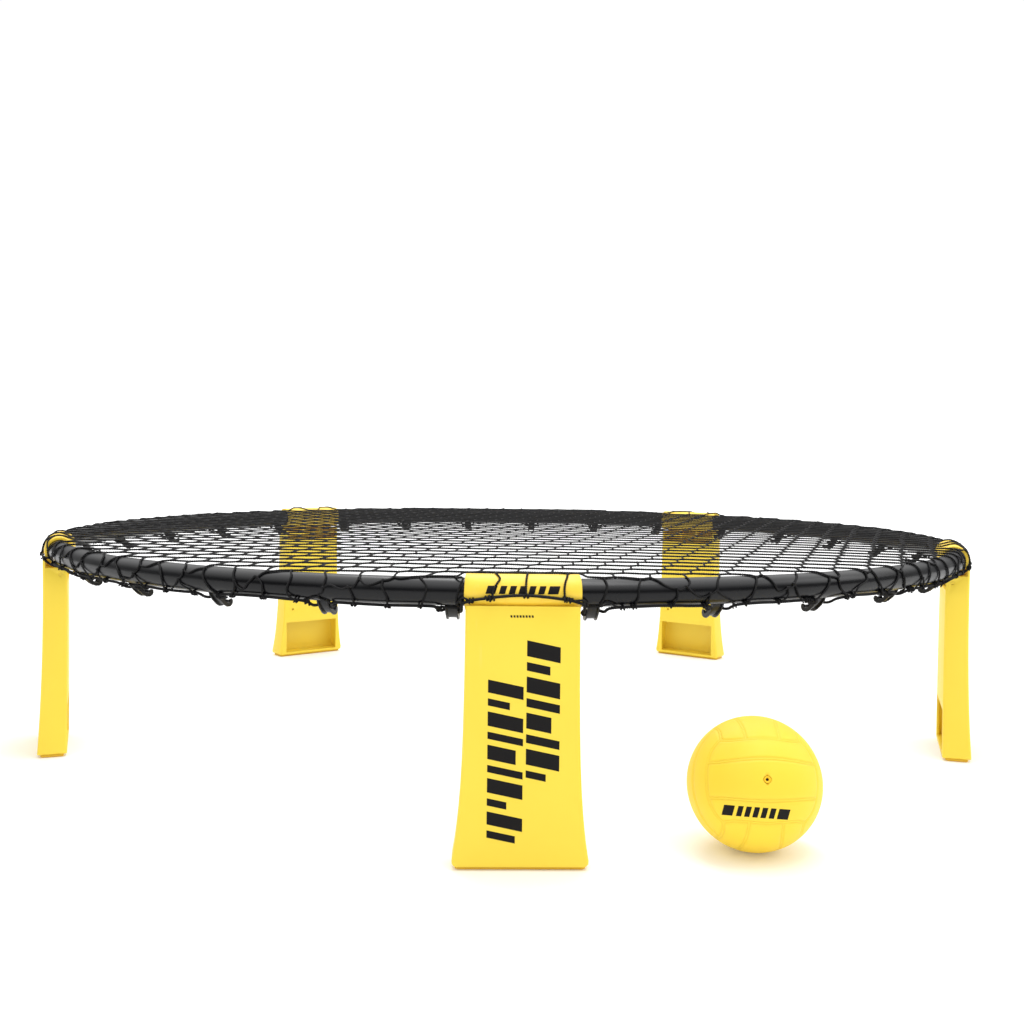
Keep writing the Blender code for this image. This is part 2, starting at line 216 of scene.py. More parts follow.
def mesh_of_node(node):
    """A merged copy of a CAD node's mesh, with flat faces joined."""
    bm = bmesh.new()
    bm.from_mesh(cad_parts[node].data)
    bmesh.ops.remove_doubles(bm, verts=bm.verts, dist=2e-5)
    bmesh.ops.dissolve_limit(bm, angle_limit=math.radians(0.05), verts=bm.verts, edges=bm.edges)
    bmesh.ops.recalc_face_normals(bm, faces=bm.faces)
    return bm


def rounded_node(node, width):
    bm = mesh_of_node(node)
    bevelled(bm, width)
    return bm


def ride_and_replace(piece, body, slot, *nodes):
    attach(piece, body)
    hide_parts(*nodes)


def one_per_sector(make, name, finish_material, sharp=math.radians(40)):
    """(number, piece) of each sector: the same shape turned about the ring's axis."""
    for i in range(SECTORS):
        bm = make()
        bm.transform(turn_ring(SECTOR * i))
        yield i + 1, object_from(bm, f"{name}_{i + 1}", finish_material, sharp)


# ---- shader node groups ----
def group_with(name, inputs, outputs):
    """An empty shader node group with its sockets: (tree, input node, output node)."""
    tree = bpy.data.node_groups.new(name, "ShaderNodeTree")
    for label, kind, default in inputs:
        socket = tree.interface.new_socket(name=label, in_out="INPUT", socket_type=kind)
        socket.default_value = default
    for label, kind in outputs:
        tree.interface.new_socket(name=label, in_out="OUTPUT", socket_type=kind)
    return tree, tree.nodes.new("NodeGroupInput"), tree.nodes.new("NodeGroupOutput")


def add(tree, kind, **settings):
    """A node with its settings; a setting named as an input socket sets that socket."""
    node = tree.nodes.new(kind)
    for key, value in settings.items():
        if key.startswith("in_"):
            node.inputs[key[3:].replace("_", " ")].default_value = value
        else:
            setattr(node, key, value)
    return node


def noise_on(tree, scale, detail=3.0, roughness=0.5, distortion=0.0):
    coordinates = add(tree, "ShaderNodeTexCoord")
    texture = add(
        tree, "ShaderNodeTexNoise", in_Detail=detail, in_Roughness=roughness, in_Distortion=distortion
    )
    tree.links.new(coordinates.outputs["Object"], texture.inputs["Vector"])
    feed(tree, texture.inputs["Scale"], scale)
    return texture.outputs["Fac"]


def ranged(tree, value, low, high, new_low=0.0, new_high=1.0):
    node = add(tree, "ShaderNodeMapRange")
    tree.links.new(value, node.inputs["Value"])
    for key, number in zip(("From Min", "From Max", "To Min", "To Max"), (low, high, new_low, new_high)):
        node.inputs[key].default_value = number
    return node.outputs["Result"]


def feed(tree, socket, value):
    """Links a socket or sets a number or a colour."""
    if isinstance(value, bpy.types.NodeSocket):
        tree.links.new(value, socket)
    else:
        socket.default_value = value if isinstance(value, (int, float)) else (*value[:3], 1.0)


def mixed(tree, share, one, two):
    """A colour between two: each is a colour or a socket."""
    node = add(tree, "ShaderNodeMix", data_type="RGBA")
    tree.links.new(share, node.inputs["Factor"])
    feed(tree, node.inputs[6], one)
    feed(tree, node.inputs[7], two)
    return node.outputs[2]


def calculated(tree, operation, one, two):
    node = add(tree, "ShaderNodeMath", operation=operation)
    feed(tree, node.inputs[0], one)
    feed(tree, node.inputs[1], two)
    return node.outputs[0]


def product(tree, one, two):
    return calculated(tree, "MULTIPLY", one, two)


def moulded_grain():
    """Fine texture of a moulded surface, and slow changes over it from the melt's flow."""
    tree, given, out = group_with(
        "Moulded Grain",
        (("Grain Scale", "NodeSocketFloat", 900.0), ("Flow Scale", "NodeSocketFloat", 9.0)),
        (("Height", "NodeSocketFloat"), ("Flow", "NodeSocketFloat")),
    )
    grain = noise_on(tree, given.outputs["Grain Scale"], 2.0, 0.6)
    flow = noise_on(tree, given.outputs["Flow Scale"], 4.0, 0.55, 0.6)
    tree.links.new(grain, out.inputs["Height"])
    tree.links.new(ranged(tree, flow, 0.32, 0.68), out.inputs["Flow"])
    return tree


def settled_dust():
    """Dust and pale scuffs: more on faces that look up, broken up by noise."""
    tree, given, out = group_with(
        "Settled Dust",
        (("Patch Scale", "NodeSocketFloat", 30.0),),
        (("Mask", "NodeSocketFloat"), ("Scuff", "NodeSocketFloat")),
    )
    geometry = add(tree, "ShaderNodeNewGeometry")
    split = add(tree, "ShaderNodeSeparateXYZ")
    tree.links.new(geometry.outputs["Normal"], split.inputs[0])
    up = ranged(tree, split.outputs["Z"], 0.2, 1.0)
    patches = ranged(tree, noise_on(tree, given.outputs["Patch Scale"], 6.0, 0.65), 0.42, 0.75)
    tree.links.new(product(tree, up, patches), out.inputs["Mask"])
    coordinates = add(tree, "ShaderNodeTexCoord")
    mapping = add(tree, "ShaderNodeMapping")
    mapping.inputs["Scale"].default_value = (260.0, 260.0, 24.0)
    mapping.inputs["Rotation"].default_value = (0.5, 0.3, 0.2)
    tree.links.new(coordinates.outputs["Object"], mapping.inputs["Vector"])
    scratch = add(tree, "ShaderNodeTexNoise", in_Scale=1.0, in_Detail=2.0)
    tree.links.new(mapping.outputs["Vector"], scratch.inputs["Vector"])
    fine = ranged(tree, scratch.outputs["Fac"], 0.66, 0.74)
    where = ranged(tree, noise_on(tree, 18.0, 2.0), 0.52, 0.66)
    tree.links.new(product(tree, fine, where), out.inputs["Scuff"])
    return tree


def twisted_fibre():
    """Fuzz and uneven dye of twisted twine."""
    tree, given, out = group_with(
        "Twisted Fibre",
        (("Fibre Scale", "NodeSocketFloat", 1800.0),),
        (("Height", "NodeSocketFloat"), ("Fuzz", "NodeSocketFloat")),
    )
    fine = noise_on(tree, given.outputs["Fibre Scale"], 3.0, 0.7, 1.5)
    slow = noise_on(tree, 60.0, 3.0, 0.6)
    tree.links.new(fine, out.inputs["Height"])
    fuzz = product(tree, ranged(tree, fine, 0.45, 0.72), ranged(tree, slow, 0.3, 0.7, 0.35, 1.0))
    tree.links.new(fuzz, out.inputs["Fuzz"])
    return tree


def shader_group(tree, name, maker, **values):
    """The shared group placed in this material with its own values."""
    made = bpy.data.node_groups.get(name) or maker()
    node = add(tree, "ShaderNodeGroup", node_tree=made)
    for key, value in values.items():
        node.inputs[key.replace("_", " ")].default_value = value
    return node


def shade(colour, *shares):
    """The colour with its channels multiplied, by one share or by three."""
    return tuple(channel * share for channel, share in zip(colour, shares * 3))


def blank(name):
    """(material, tree, Principled shader)"""
    found = bpy.data.materials.new(name)
    found.use_nodes = True
    return found, found.node_tree, found.node_tree.nodes["Principled BSDF"]


def with_bump(tree, shader, height, distance, strength=0.5):
    bump = add(tree, "ShaderNodeBump", in_Strength=strength, in_Distance=distance)
    tree.links.new(height, bump.inputs["Height"])
    tree.links.new(bump.outputs["Normal"], shader.inputs["Normal"])


PALE_DUST = (0.9, 0.8, 0.5)


def moulded_plastic(
    name, colour, deep, gloss, dust=PALE_DUST, dust_share=0.25, grain=900.0, bump=0.00002, specular=0.5
):
    """Moulded plastic with flow marks, scuffs and dust. gloss is the (lowest, highest) roughness."""
    found, tree, shader = blank(name)
    surface = shader_group(tree, "Moulded Grain", moulded_grain, Grain_Scale=grain)
    wear = shader_group(tree, "Settled Dust", settled_dust)
    body = mixed(tree, surface.outputs["Flow"], deep, colour)
    scuffed = mixed(tree, product(tree, wear.outputs["Scuff"], dust_share), body, dust)
    dusty = mixed(tree, product(tree, wear.outputs["Mask"], dust_share), scuffed, dust)
    tree.links.new(dusty, shader.inputs["Base Color"])
    rough = ranged(tree, surface.outputs["Flow"], 0.0, 1.0, *gloss)
    tree.links.new(rough, shader.inputs["Roughness"])
    with_bump(tree, shader, surface.outputs["Height"], bump)
    shader.inputs["Specular IOR Level"].default_value = specular
    return found


def twine(name, colour, fuzz_colour, scale=1800.0):
    found, tree, shader = blank(name)
    fibre = shader_group(tree, "Twisted Fibre", twisted_fibre, Fibre_Scale=scale)
    tree.links.new(mixed(tree, fibre.outputs["Fuzz"], colour, fuzz_colour), shader.inputs["Base Color"])
    tree.links.new(ranged(tree, fibre.outputs["Height"], 0.3, 0.7, 0.62, 0.9), shader.inputs["Roughness"])
    with_bump(tree, shader, fibre.outputs["Height"], 0.0002, 0.7)
    shader.inputs["Specular IOR Level"].default_value = 0.22
    return found


def floor_paper(name, colour):
    found, tree, shader = blank(name)
    surface = shader_group(tree, "Moulded Grain", moulded_grain, Grain_Scale=300.0, Flow_Scale=0.8)
    body = mixed(tree, surface.outputs["Flow"], shade(colour, 0.985), colour)
    tree.links.new(body, shader.inputs["Base Color"])
    coordinates = add(tree, "ShaderNodeTexCoord")
    apart = add(tree, "ShaderNodeVectorMath", operation="LENGTH")
    tree.links.new(coordinates.outputs["Object"], apart.inputs[0])
    far = ranged(tree, apart.outputs["Value"], 1.3, 3.2)
    glow = mixed(tree, far, (0.10, 0.10, 0.10), (0.50, 0.50, 0.50))
    tree.links.new(glow, shader.inputs["Emission Color"])
    shader.inputs["Emission Strength"].default_value = 1.0
    shader.inputs["Roughness"].default_value = 0.6
    shader.inputs["Specular IOR Level"].default_value = 0.15
    return found


def once(name, maker, *args, **values):
    return bpy.data.materials.get(name) or maker(name, *args, **values)


# ---- what a user would change ----
def colour_property(name, description, default):
    return FloatVectorProperty(
        name=name, description=description, default=default, size=3, min=0.0, max=1.0, subtype="COLOR"
    )


class ROUNDNET_PG_frame(bpy.types.PropertyGroup):
    rim_colour: colour_property("Rim", "Colour of the rim tube and its hooks", (0.0035, 0.0036, 0.0045))
    leg_colour: colour_property("Legs", "Colour of the leg plastic", (0.95, 0.71, 0.055))
    collar_colour: colour_property("Collars", "Colour of the collars on the rim", (0.95, 0.67, 0.05))
    pad_colour: colour_property("Feet", "Colour of the rubber feet", (0.80, 0.48, 0.03))
    ink_colour: colour_property("Print", "Colour of the printed bars", (0.008, 0.007, 0.007))
    edge_round: FloatProperty(
        name="Edge rounding", description="Radius of the moulded parts' edges", default=0.0006,
        min=0.0001, max=0.002, unit="LENGTH", precision=4,
    )


class ROUNDNET_PG_net(bpy.types.PropertyGroup):
    mesh_width: FloatProperty(
        name="Mesh width", description="Width of one mesh of the net", default=0.026, min=0.01, max=0.06,
        unit="LENGTH", precision=4,
    )
    twine_width: FloatProperty(
        name="Twine", description="Thickness of the net's twine", default=0.0017, min=0.0008, max=0.004,
        unit="LENGTH", precision=4,
    )
    edge_width: FloatProperty(
        name="Edge cord", description="Thickness of the edge cord", default=0.0023, min=0.001, max=0.005,
        unit="LENGTH", precision=4,
    )
    looseness: FloatProperty(
        name="Looseness", description="How far the knots wander from an even lattice", default=0.0008,
        min=0.0, max=0.004, unit="LENGTH", precision=4,
    )
    panels: IntProperty(
        name="Panels", description="Sectors that the net is made in", default=20, min=10, max=40
    )
    twine_colour: colour_property("Twine colour", "Colour of the twine", (0.0035, 0.0035, 0.004))
    fuzz_colour: colour_property("Fuzz colour", "Colour of the twine's worn fibres", (0.022, 0.021, 0.022))


class ROUNDNET_PG_ball(bpy.types.PropertyGroup):
    colour: colour_property("Ball", "Colour of the ball's rubber", (0.96, 0.70, 0.042))
    groove_depth: FloatProperty(
        name="Groove depth", description="Depth of the grooves between panels", default=0.0005, min=0.0,
        max=0.001, unit="LENGTH", precision=5,
    )


class ROUNDNET_PG_stage(bpy.types.PropertyGroup):
    floor_colour: colour_property("Floor", "Colour of the floor", (0.95, 0.95, 0.95))
    lens: FloatProperty(
        name="Lens", description="Focal length of the camera", default=41.01, min=10, max=200, unit="CAMERA"
    )
    overhead: FloatProperty(
        name="Overhead light", description="Power of the soft light overhead", default=28.0, min=0.0,
        max=500.0, unit="POWER",
    )


# ---- rim ----
def hook_azimuths(sector):
    return [SECTOR * sector + HOOK_FIRST + HOOK_STEP * i for i in range(HOOKS)]


def add_hook(bm, azimuth):
    """A hook with two side ribs and a web that is set back between them."""
    rows = []
    for along, outline in (
        (-HOOK_HALF, HOOK_OUTLINE), (-HOOK_RIB, HOOK_OUTLINE), (-HOOK_WEB_HALF, HOOK_WEB),
        (HOOK_WEB_HALF, HOOK_WEB), (HOOK_RIB, HOOK_OUTLINE), (HOOK_HALF, HOOK_OUTLINE),
    ):
        points = [
            place(RING_RADIUS + out * MM, along, RING_HEIGHT + up * MM, azimuth) for out, up in outline
        ]
        rows.append(wire(bm, points))
    for one, two in zip(rows, rows[1:]):
        bmesh.ops.bridge_loops(bm, edges=one + two)
    bmesh.ops.contextual_create(bm, geom=rows[0])
    bmesh.ops.contextual_create(bm, geom=rows[-1])


def hooks_mesh(azimuths):
    bm = bmesh.new()
    for azimuth in azimuths:
        add_hook(bm, azimuth)
    bmesh.ops.recalc_face_normals(bm, faces=bm.faces)
    bevelled(bm, 0.00022, 1, math.radians(35))
    return bm


def tube_mesh(first, last, radius, sides, steps):
    """A length of tube along the ring, spun from a circle and closed at its ends."""
    bm = bmesh.new()
    upright = Matrix.Rotation(first, 4, "Z") @ Matrix.Translation((0, -RING_RADIUS, RING_HEIGHT))
    upright = Matrix.Translation(RING) @ upright @ Matrix.Rotation(math.pi / 2, 4, "Y")
    circle = bmesh.ops.create_circle(bm, cap_ends=False, segments=sides, radius=radius, matrix=upright)
    edges = bm.edges[:]
    made = bmesh.ops.spin(
        bm, geom=circle["verts"] + edges, cent=RING, axis=(0, 0, 1), angle=last - first, steps=steps
    )
    ends = [item for item in made["geom_last"] if isinstance(item, bmesh.types.BMEdge)]
    bmesh.ops.contextual_create(bm, geom=edges)
    bmesh.ops.contextual_create(bm, geom=ends)
    bmesh.ops.recalc_face_normals(bm, faces=bm.faces)
    return bm


def joined(first, *others):
    """One bmesh out of several."""
    for other in others:
        mesh = bpy.data.meshes.new("joining")
        other.to_mesh(mesh)
        other.free()
        first.from_mesh(mesh)
        bpy.data.meshes.remove(mesh)
    return first


class ROUNDNET_OT_rim(bpy.types.Operator):
    """Make the five rim tubes with their moulded hooks"""

    bl_idname = "roundnet.rim"
    bl_label = "Rim Segments"

    def execute(self, context):
        colour = context.scene.roundnet_frame.rim_colour
        black = once(
            "black_rim_plastic", moulded_plastic, colour, shade(colour, 0.72), (0.24, 0.31),
            (0.06, 0.06, 0.065), 0.10, 1400.0, 0.000012, 0.28,
        )
        for i in range(SECTORS):
            start = SECTOR * i
            bm = tube_mesh(start + TUBE_GAP, start + SECTOR - TUBE_GAP, TUBE_RADIUS, 32, 72)
            bm = joined(bm, hooks_mesh(hook_azimuths(i)))
            piece = object_from(bm, f"rim_tube_{i + 1}", black)
            ride_and_replace(piece, "frame", "rim_plastic", f"rim_segment_{i + 1}")
        return {"FINISHED"}


# ---- collars ----
COLLAR_SOCKET = 0.006
COLLAR_RIBS = (-0.0110, 0.0130)
COLLAR_RIB_HALF = 0.0004


def collar_mesh():
    """A sleeve over the joint of two tubes, with two lugs below that hold the hinge pin."""
    bm = tube_mesh(-COLLAR_HALF, COLLAR_HALF, COLLAR_RADIUS, 40, 10)
    ends = [face for face in bm.faces if len(face.verts) > 4]
    bmesh.ops.inset_individual(bm, faces=ends, thickness=COLLAR_RADIUS - TUBE_RADIUS - 0.0003)
    for face in [face for face in bm.faces if len(face.verts) > 4]:
        moved = bmesh.ops.extrude_discrete_faces(bm, faces=[face])["faces"]
        inward = -moved[0].normal * COLLAR_SOCKET
        bmesh.ops.translate(bm, verts=list(moved[0].verts), vec=inward)
    bmesh.ops.recalc_face_normals(bm, faces=bm.faces)
    bevelled(bm, 0.0005, 2, math.radians(60))
    for side in (-1, 1):
        along = side * LUG_ALONG - LUG_THICK / 2
        points = [place(RING_RADIUS + out * MM, along, RING_HEIGHT + up * MM) for out, up in LUG_OUTLINE]
        lug = slab(points, (LUG_THICK, 0, 0))
        bevelled(lug, 0.0003, 2, math.radians(50))
        bm = joined(bm, lug)
    inner, outer = COLLAR_RADIUS - 0.0004, COLLAR_RADIUS + 0.0006
    corners = [(inner, -8), (outer, -12), (outer, -20), (outer, -28), (inner, -31), (inner, -20)]
    half = Vector((COLLAR_RIB_HALF, 0, 0))
    for along in COLLAR_RIBS:
        points = [
            around_tube(along / RING_RADIUS, distance, math.radians(degrees)) - half
            for distance, degrees in corners
        ]
        bm = joined(bm, slab(points, 2 * half))
    return bm


class ROUNDNET_OT_collars(bpy.types.Operator):
    """Make the five collars that join the rim and carry the legs"""

    bl_idname = "roundnet.collars"
    bl_label = "Collars"

    def execute(self, context):
        colour = context.scene.roundnet_frame.collar_colour
        deep = shade(colour, 0.97, 0.93, 0.8)
        yellow = once(
            "yellow_collar_plastic", moulded_plastic, colour, deep, (0.40, 0.50), PALE_DUST, 0.08, 1200.0
        )
        for number, piece in one_per_sector(collar_mesh, "joint_collar", yellow):
            ride_and_replace(piece, "frame", "collar_plastic", f"leg_collar_{number}")
        return {"FINISHED"}


# ---- legs ----
def leg_outer(height):
    return 0.4700 + 0.0064 * max(0.0, (LEG_TOP - height) / LEG_TOP) ** 2.2


def leg_front(height):
    """The front plate's distance from the axis, straight between the rows of the moulded shape."""
    index = max(1, min(len(LEG_HEIGHTS) - 1, bisect.bisect(LEG_HEIGHTS, height)))
    low, high = LEG_HEIGHTS[index - 1], LEG_HEIGHTS[index]
    return blend_of(leg_outer(low), leg_outer(high), (height - low) / (high - low))


# The printed bars: left and right ends along the leg, height of the left end and thickness, in millimetres.
PRINT_SLOPE = -0.21
PRINT_COLUMNS = (
    (-23.7, 1.0, 133.2, (
        (9.0, 1.0), (5.0, 0.62), (10.0, 1.0), (5.0, 1.0), (10.0, 0.8), (5.0, 1.0), (10.0, 1.0), (5.0, 0.55),
        (9.0, 1.0), (5.0, 0.8),
    )),
    (3.1, 26.4, 160.7, (
        (11.0, 1.0), (6.0, 0.7), (11.0, 1.0), (6.0, 1.0), (11.0, 0.75), (6.0, 1.0), (11.0, 1.0), (5.0, 0.6),
    )),
)
PRINT_PITCH = 4.1
SMALL_PRINT = tuple((-8.7 + 2.1 * k, -7.4 + 2.1 * k, 178.2, ((1.6, 1.0),)) for k in range(8))


def print_mesh():
    """Bold slanted bars in two columns, as thin slabs on the front plate."""
    bm = bmesh.new()
    for left, right, top, bars in PRINT_COLUMNS + SMALL_PRINT:
        upper = top
        for thick, share in bars:
            made = bmesh.ops.create_grid(bm, x_segments=6, y_segments=4, size=1.0)["verts"]
            for vert in made:
                across = (vert.co.x + 1) / 2 * share
                along = blend_of(left, right, across) * MM
                height = (upper + PRINT_SLOPE * (right - left) * across - thick * (1 - vert.co.y) / 2) * MM
                vert.co = place(leg_front(height) + PRINT_LIFT, along, height)
            upper -= thick + PRINT_PITCH
    thicken_print(bm, lambda face: Vector((0, -1, 0)))
    return bm


class ROUNDNET_OT_legs(bpy.types.Operator):
    """Make the five hollow folding legs"""

    bl_idname = "roundnet.legs"
    bl_label = "Folding Legs"

    def execute(self, context):
        wanted = context.scene.roundnet_frame
        colour = wanted.leg_colour
        deep = shade(colour, 0.98, 0.96, 0.85)
        yellow = once(
            "yellow_leg_plastic", moulded_plastic, colour, deep, (0.42, 0.52), (0.9, 0.82, 0.55),
            0.07, 1200.0,
        )

        def leg():
            return rounded_node("leg_1", wanted.edge_round)

        for number, piece in one_per_sector(leg, "folding_leg_shell", yellow, math.radians(28)):
            ride_and_replace(piece, f"folding_leg_{number}", "leg_plastic", f"leg_{number}")
        return {"FINISHED"}


class ROUNDNET_OT_prints(bpy.types.Operator):
    """Print the slanted bars on the legs' front plates"""

    bl_idname = "roundnet.prints"
    bl_label = "Leg Prints"

    def execute(self, context):
        colour = context.scene.roundnet_frame.ink_colour
        ink = once(
            "print_ink", moulded_plastic, colour, shade(colour, 0.8), (0.42, 0.55),
            (0.1, 0.09, 0.06), 0.1, 1600.0, 0.000008, 0.15,
        )
        for number, piece in one_per_sector(print_mesh, "leg_print", ink):
            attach(piece, f"folding_leg_{number}")
        return {"FINISHED"}


# The collars' dashes: left and right ends in millimetres along the collar, and how far round it they reach.
COLLAR_DASHES = (
    (-25.5, -19.0), (-16.6, -12.4), (-10.0, -5.8), (-3.4, 0.8), (3.2, 7.4), (9.8, 14.0), (16.4, 23.5)
)
COLLAR_DASH_ANGLES = (math.radians(2), math.radians(27))
COLLAR_DASH_SLANT = 1.6


class ROUNDNET_OT_collar_prints(bpy.types.Operator):
    """Print a row of slanted dashes on the collars"""

    bl_idname = "roundnet.collar_prints"
    bl_label = "Collar Prints"

    def execute(self, context):
        low, high = COLLAR_DASH_ANGLES
        for i in range(SECTORS):
            bm = bmesh.new()
            for left, right in COLLAR_DASHES:
                for vert in bmesh.ops.create_grid(bm, x_segments=3, y_segments=5, size=1.0)["verts"]:
                    up = (vert.co.y + 1) / 2
                    along = (blend_of(left, right, (vert.co.x + 1) / 2) + COLLAR_DASH_SLANT * up) * MM
                    azimuth = SECTOR * i + along / RING_RADIUS
                    vert.co = around_tube(azimuth, COLLAR_RADIUS + PRINT_LIFT, blend_of(low, high, up))
            centre = around_tube(SECTOR * i, 0.0, 0.0)
            thicken_print(bm, lambda face: face.calc_center_median() - centre)
            piece = object_from(bm, f"collar_print_{i + 1}", bpy.data.materials["print_ink"])
            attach(piece, "frame")
        return {"FINISHED"}


class ROUNDNET_OT_feet(bpy.types.Operator):
    """Make the rubber feet"""

    bl_idname = "roundnet.feet"
    bl_label = "Rubber Feet"

    def execute(self, context):
        colour = context.scene.roundnet_frame.pad_colour
        rubber = once(
            "amber_foot_rubber", moulded_plastic, colour, shade(colour, 0.85), (0.6, 0.75),
            (0.6, 0.5, 0.35), 0.2, 700.0, 0.00003,
        )

        def foot():
            return rounded_node("foot_pad_1", 0.0004)

        for number, piece in one_per_sector(foot, "rubber_foot", rubber):
            ride_and_replace(piece, f"folding_leg_{number}", "pad_rubber", f"foot_pad_{number}")
        return {"FINISHED"}


class ROUNDNET_OT_pins(bpy.types.Operator):
    """Give the hinge pins their moulded plastic"""

    bl_idname = "roundnet.pins"
    bl_label = "Hinge Pins"

    def execute(self, context):
        colour = context.scene.roundnet_frame.leg_colour
        plastic = once(
            "pin_plastic_moulded", moulded_plastic, colour, shade(colour, 0.95), (0.4, 0.5),
            PALE_DUST, 0.05, 2000.0,
        )
        for i in range(SECTORS):
            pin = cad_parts[f"hinge_pin_{i + 1}"]
            for material_slot in pin.material_slots:
                material_slot.material = plastic
        return {"FINISHED"}


# ---- edge cord ----
def edge_controls():
    """The edge cord's control points as (azimuth, distance, angle), once round the ring."""
    draws = random.Random(11)
    found = []

    def at(azimuth, along, distance, degrees):
        found.append((azimuth + along * MM / RING_RADIUS, distance * MM, math.radians(degrees)))

    for i in range(SECTORS):
        hooks = hook_azimuths(i)
        at(hooks[0], *MID_COLLAR, blend_of(COLLAR_MIDDLES[i], COLLAR_SIDE, 0.5))
        for along, distance, degrees in reversed(BY_COLLAR):
            at(hooks[0], along, distance, degrees)
        for number, hook in enumerate(hooks):
            at(hook, *AT_HOOK[0])
            if number == len(hooks) - 1:
                break
            following = hooks[number + 1]
            middle = draws.uniform(-60, -38)
            for row in AT_HOOK[1:]:
                at(hook, *row)
            for share, slack in ((0.28, 0.2), (0.5, 0.0), (0.72, 0.2)):
                angle = blend_of(middle, TUBE_SIDE, slack) + draws.uniform(-4, 4)
                at(blend_of(hook, following, share), 0.0, ON_TUBE, angle)
            for along, distance, degrees in reversed(AT_HOOK[1:]):
                at(following, -along, distance, degrees)
        for along, distance, degrees in BY_COLLAR:
            at(hooks[-1], -along, distance, degrees)
        top = COLLAR_MIDDLES[(i + 1) % SECTORS]
        at(hooks[-1], -MID_COLLAR[0], MID_COLLAR[1], blend_of(top, COLLAR_SIDE, 0.5))
        at(SECTOR * (i + 1), 0.0, MID_COLLAR[1], top)
    return found


def hermite(before, one, two, after, share):
    """A point on a smooth curve between one and two."""
    square, cube = share * share, share * share * share
    return tuple(
        0.5 * (
            2 * b + (c - a) * share + (2 * a - 5 * b + 4 * c - d) * square
            + (3 * b - a - 3 * c + d) * cube
        )
        for a, b, c, d in zip(before, one, two, after)
    )


def edge_route():
    """A dense list of (azimuth, distance, angle) round the ring, with rising azimuths."""
    controls = edge_controls()
    count = len(controls)
    dense = []
    for i in range(count):
        around = []
        for k in (-1, 0, 1, 2):
            turns, index = divmod(i + k, count)
            azimuth, distance, angle = controls[index]
            around.append((azimuth + math.tau * turns, distance, angle))
        for step in range(6):
            dense.append(hermite(*around, step / 6))
    dense.sort()
    return dense


EDGE = edge_route()
EDGE_AZIMUTHS = [row[0] for row in EDGE]


def edge_at(azimuth):
    """(distance, angle) of the edge cord at this azimuth."""
    start = EDGE_AZIMUTHS[0]
    azimuth = start + (azimuth - start) % math.tau
    index = bisect.bisect(EDGE_AZIMUTHS, azimuth)
    one = EDGE[index - 1]
    two = EDGE[index] if index < len(EDGE) else (EDGE[0][0] + math.tau, *EDGE[0][1:])
    share = (azimuth - one[0]) / max(1e-9, two[0] - one[0])
    return blend_of(one[1], two[1], share), blend_of(one[2], two[2], share)


def spaced(points, step, cyclic=False):
    """Points at equal steps along a line."""
    if cyclic:
        points = list(points) + [points[0]]
    lengths = [0.0]
    for one, two in zip(points, points[1:]):
        lengths.append(lengths[-1] + (two - one).length)
    count = max(2, round(lengths[-1] / step))
    found, index = [], 0
    for i in range(count + (0 if cyclic else 1)):
        wanted = lengths[-1] * i / count
        while index < len(lengths) - 2 and lengths[index + 1] < wanted:
            index += 1
        span = max(1e-12, lengths[index + 1] - lengths[index])
        found.append(points[index].lerp(points[index + 1], min(1.0, (wanted - lengths[index]) / span)))
    return found


def cord_curve(name, width, profile):
    """A curve whose section is the profile, as shares of the width."""
    section = bpy.data.curves.new(name + "_section", "CURVE")
    section.dimensions = "2D"
    spline = section.splines.new("POLY")
    spline.points.add(len(profile) - 1)
    for point, (x, y) in zip(spline.points, profile):
        point.co = (x * width, y * width, 0, 1)
    spline.use_cyclic_u = True
    section_object = bpy.data.objects.new(section.name, section)
    curve = bpy.data.curves.new(name, "CURVE")
    curve.dimensions = "3D"
    curve.bevel_mode = "OBJECT"
    curve.bevel_object = section_object
    curve.use_fill_caps = True
    curve.twist_mode = "MINIMUM"
    return curve


def lay(curve, points, turn, cyclic=False):
    """Adds a length of twisted cord; the section turns by this angle at each point."""
    spline = curve.splines.new("POLY")
    spline.points.add(len(points) - 1)
    for i, (target, point) in enumerate(zip(spline.points, points)):
        target.co = (*point, 1)
        target.tilt = turn * i
    spline.use_cyclic_u = cyclic


def bmesh_of_curve(curve):
    """The curve's surface as a bmesh; the curve and its section are removed."""
    carrier = bpy.data.objects.new("carrier", curve)
    bpy.context.scene.collection.objects.link(carrier)
    bpy.context.view_layer.update()
    mesh = bpy.data.meshes.new_from_object(carrier.evaluated_get(bpy.context.evaluated_depsgraph_get()))
    section = curve.bevel_object
    bpy.data.objects.remove(carrier)
    bpy.data.curves.remove(curve)
    section_data = section.data
    bpy.data.objects.remove(section)
    bpy.data.curves.remove(section_data)
    bm = bmesh.new()
    bm.from_mesh(mesh)
    bpy.data.meshes.remove(mesh)
    bmesh.ops.remove_doubles(bm, verts=bm.verts, dist=1e-6)
    bmesh.ops.recalc_face_normals(bm, faces=bm.faces)
    return bm


TWO_PLY = ((0.54, 0.0), (0.0, 0.37), (-0.54, 0.0), (0.0, -0.37))
THREE_PLY = tuple(
    (reach * math.cos(math.tau * k / 6), reach * math.sin(math.tau * k / 6))
    for k, reach in enumerate((0.54, 0.40) * 3)
)
CORD_STEP = 0.00085
TIE_STEP = 0.0009
TIE_RADIUS = 0.00175
TIE_LENGTH = 0.0034
TIE_TURNS = 1.5
TAIL_DROP = Vector((0, 0, -0.0011))


